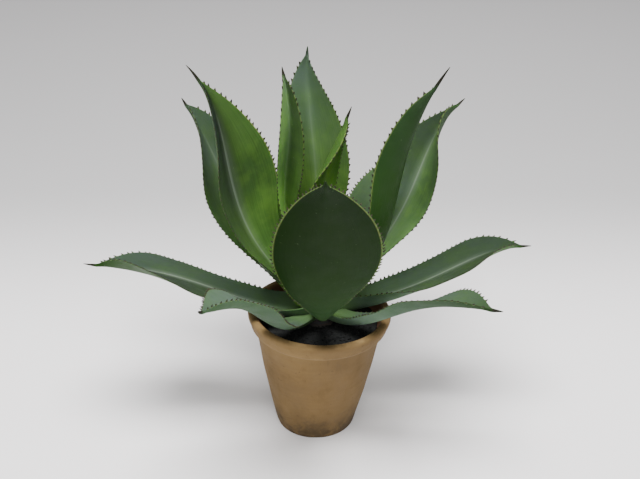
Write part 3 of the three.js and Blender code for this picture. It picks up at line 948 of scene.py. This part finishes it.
class AgavePotSizes(bpy.types.PropertyGroup):
    height: millimetres("Height", "Height of the pot along its own axis", 137.4, 60, 400)
    rim: millimetres("Rim radius", "Outer radius of the rim", 75, 30, 200)
    foot: millimetres("Foot radius", "Radius of the wall at the foot", 42.5, 20, 150)
    band: millimetres("Rim band", "Height of the thick band round the rim", 17.5, 5, 60)
    belly: millimetres("Belly", "How far the wall swells halfway up", 1.2, 0, 10)
    lean: number(
        "Lean", "How far the thrown wall leans to the right", math.radians(1.9),
        subtype="ANGLE")
    soil_depth: millimetres("Soil below rim", "How far the soil lies below the rim", 15, 2, 60)


class AgaveColours(bpy.types.PropertyGroup):
    deep_green: colour("Deep green", "Leaf where it is darkest", 60, 92, 34)
    green: colour("Green", "Main leaf colour", 84, 122, 46)
    bright_green: colour("Bright green", "Leaf where it is freshest", 108, 150, 52)
    # Painted shade: the darker green of the outer faces, which lie turned from the light.
    shaded_outer_green: colour("Outer green", "Outer face of a leaf", 28, 61, 15)
    wax: colour("Wax", "Grey bloom on the older skin", 82, 101, 85)
    midrib: colour("Midrib", "Pale band along the inner face", 150, 164, 146)
    foot: colour("Leaf foot", "Pale leaf foot", 80, 112, 54)
    margin: colour("Margin", "Light line along the margins", 150, 160, 92)
    speck: colour("Speck", "Small pale dots in the skin", 120, 140, 104)
    horn: colour("Needle", "Dark end needle", 34, 33, 26)
    tooth: colour("Tooth", "Brown tooth", 46, 44, 26)
    clay: colour("Clay", "Pot wall", 102, 81, 48)
    clay_light: colour("Light clay", "Dry, pale parts of the pot", 116, 93, 56)
    # Also painted shade on the pot's right side.
    clay_dark: colour("Dark clay", "Stained parts of the pot", 80, 62, 36)
    rim_inside: colour("Rim inside", "Reddish inside of the rim", 92, 58, 40)
    # Painted highlight on the band's lower edge and the lip.
    clay_highlight: colour("Clay highlight", "Pale edges of the pot", 132, 109, 72)
    dirt: colour("Dirt", "Dirt on the pot", 54, 45, 33)
    soil: colour("Soil", "Potting soil", 36, 37, 36)
    soil_dark: colour("Dark soil", "Wet soil in the gaps", 29, 30, 30)
    bark: colour("Bark", "Chips in the soil", 58, 46, 34)
    band: number(
        "Midrib strength", "How strongly the pale midrib band shows", 0.6,
        min=0, max=1, subtype="FACTOR")
    glow: number(
        "Light in the flesh", "How much light passes through the leaf's flesh", 0.85,
        min=0, max=1, subtype="FACTOR")


class AgaveStage(bpy.types.PropertyGroup):
    floor: colour("Floor", "Seamless pale floor", 246, 243, 243)
    # Painted shade: the grey the floor darkens toward behind the plant.
    shaded_far_floor: colour("Far floor", "The floor far behind the plant", 153, 153, 153)
    ceiling: number(
        "Ceiling lamp", "Power of the large soft lamp overhead", 84, min=0, subtype="POWER")
    front: number(
        "Front lamp", "Power of the broad lamp before the plant", 15, min=0, subtype="POWER")
    back: number(
        "Back lamp", "Power of the lamp above and behind the plant", 2, min=0, subtype="POWER")
    sky: number("Surroundings", "Brightness of the room all round", 0.56, min=0, max=5)
    lens: number("Lens", "Focal length on a 36 mm wide frame", 54, min=10, max=300)
    away: number(
        "Camera distance", "Level distance from camera to pot axis", 0.8549,
        min=0.2, max=5, unit="LENGTH")
    above: number(
        "Camera height", "Height of the camera above the floor", 0.6703,
        min=0.1, max=5, unit="LENGTH")
    right: number(
        "Camera right", "How far the camera stands to the right", 0.0052, unit="LENGTH")
    down: number(
        "Camera down", "How far the camera looks down", math.radians(27.84), subtype="ANGLE")


def add_piece(node, slot, mesh, *materials):
    """Puts a mesh in the place of its node, on the one body that the plant has."""
    piece = new_object(mesh.name, mesh, *materials)
    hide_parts(node)
    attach(piece, "root")


class AGAVE_OT_leaves(bpy.types.Operator):
    """Build every leaf with its midrib, margins, teeth and end needle"""
    bl_idname = "agave.leaves"
    bl_label = "Leaves"

    def execute(self, context):
        scene = context.scene
        skin = leaf_material(scene.agave_colours)
        horn = horn_material(scene.agave_colours)
        for count, (node, own) in enumerate(LEAVES.items()):
            seed = 0.7 * count + 0.3
            mesh = blade_mesh(node + "_blade", USUAL | own, seed, scene.agave_leaf_sizes)
            add_piece(node, "leaf", mesh, skin, horn)
        return {"FINISHED"}


class AGAVE_OT_stem(bpy.types.Operator):
    """Build the short stump with the scars of old leaves"""
    bl_idname = "agave.stem"
    bl_label = "Stem"

    def execute(self, context):
        low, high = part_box("stem")
        base, top = low[2] / MM, high[2] / MM
        outline = [(0, base), (9, base + 2), (14, base + 16)]
        z, scar_step, scars_end = base + 20, 4.6, 150
        while z < scars_end:
            outline += [(14.4, z), (15.3, z + 2.6), (14.7, z + 4.0)]
            z += scar_step
        outline += [(14, 153), (12, 163), (8, 175), (4, top - 2), (0, top)]
        mesh = spun("stump", outline, 72, x=STEM_X, wobble=0.5, seed=3.0)
        add_piece("stem", "stem", mesh, stump_material(context.scene.agave_colours))
        return {"FINISHED"}


class AGAVE_OT_pot(bpy.types.Operator):
    """Build the thrown clay pot with its rim band"""
    bl_idname = "agave.pot"
    bl_label = "Pot"

    def execute(self, context):
        size = context.scene.agave_pot_sizes
        mesh = spun("clay_pot", pot_outline(size), 144, size.lean, wobble=0.45)
        add_piece("pot", "clay", mesh, clay_material(context.scene.agave_colours, size))
        return {"FINISHED"}


class AGAVE_OT_soil(bpy.types.Operator):
    """Build the soil with its lumps and crumbs"""
    bl_idname = "agave.soil"
    bl_label = "Soil"

    def execute(self, context):
        mesh = soil_mesh(context.scene.agave_pot_sizes)
        add_piece("soil", "soil", mesh, soil_material(context.scene.agave_colours))
        return {"FINISHED"}


class AGAVE_OT_stage(bpy.types.Operator):
    """Set the pale floor, the soft lamps and the camera"""
    bl_idname = "agave.stage"
    bl_label = "Stage"

    def execute(self, context):
        scene = context.scene
        stage = scene.agave_stage
        origin = Vector(plant_origin())
        mesh = bpy.data.meshes.new("floor")
        half = 8.0
        corners = [(-half, -half, 0), (half, -half, 0), (half, half, 0), (-half, half, 0)]
        mesh.from_pydata(corners, [], [(0, 1, 2, 3)])
        floor = new_object("floor", mesh, floor_material(stage))

        def lamp(name, power, width, depth, place):
            data = bpy.data.lights.new(name, "AREA")
            data.energy = power
            data.shape = "RECTANGLE"
            data.size = width
            data.size_y = depth
            made = new_object(name, data)
            made.location = origin + Vector(place)
            aim = origin + Vector((0, 0, 0.1)) - made.location
            made.rotation_euler = aim.to_track_quat("-Z", "Y").to_euler()

        lamp("ceiling", stage.ceiling, width=1.3, depth=0.6, place=(0, -0.42, 1.9))
        lamp("front", stage.front, width=1.3, depth=1.3, place=(0.2, -1.7, 1.2))
        lamp("back", stage.back, width=0.5, depth=0.5, place=(-0.5, 0.55, 1.8))
        world = bpy.data.worlds.new("room")
        world.use_nodes = True
        background = world.node_tree.nodes["Background"]
        background.inputs["Color"].default_value = srgb(250, 250, 252)
        background.inputs["Strength"].default_value = stage.sky
        scene.world = world

        data = bpy.data.cameras.new("camera")
        data.lens = stage.lens
        data.sensor_width = 36
        data.clip_end = 50
        camera = new_object("camera", data)
        camera.location = origin + Vector((stage.right, -stage.away, stage.above))
        camera.rotation_euler = (math.pi / 2 - stage.down, 0, 0)
        scene.camera = camera
        return {"FINISHED"}


class AGAVE_PT_panel(bpy.types.Panel):
    bl_label = "Potted agave"
    bl_idname = "AGAVE_PT_panel"
    bl_space_type = "VIEW_3D"
    bl_region_type = "UI"
    bl_category = "Potted agave"

    def draw(self, context):
        layout = self.layout
        for title, group, operators in (
            ("Leaves", "agave_leaf_sizes", ("agave.leaves", "agave.stem")),
            ("Pot", "agave_pot_sizes", ("agave.pot", "agave.soil")),
            ("Colours", "agave_colours", ()),
            ("Stage", "agave_stage", ("agave.stage",)),
        ):
            box = layout.box()
            box.label(text=title)
            settings = getattr(context.scene, group)
            for key in settings.bl_rna.properties.keys():
                if key not in ("rna_type", "name"):
                    box.prop(settings, key)
            for operator in operators:
                box.operator(operator)


CLASSES = (
    AgaveLeafSizes, AgavePotSizes, AgaveColours, AgaveStage,
    AGAVE_OT_leaves, AGAVE_OT_stem, AGAVE_OT_pot, AGAVE_OT_soil, AGAVE_OT_stage,
    AGAVE_PT_panel,
)
GROUPS = {
    "agave_leaf_sizes": AgaveLeafSizes,
    "agave_pot_sizes": AgavePotSizes,
    "agave_colours": AgaveColours,
    "agave_stage": AgaveStage,
}


def register():
    for cls in CLASSES:
        bpy.utils.register_class(cls)
    for name, group in GROUPS.items():
        setattr(bpy.types.Scene, name, bpy.props.PointerProperty(type=group))


def unregister():
    for name in GROUPS:
        delattr(bpy.types.Scene, name)
    for cls in reversed(CLASSES):
        bpy.utils.unregister_class(cls)


def main():
    register()
    bpy.ops.agave.stage()
    bpy.ops.agave.pot()
    bpy.ops.agave.soil()
    bpy.ops.agave.stem()
    bpy.ops.agave.leaves()


if __name__ == "__main__":
    main()
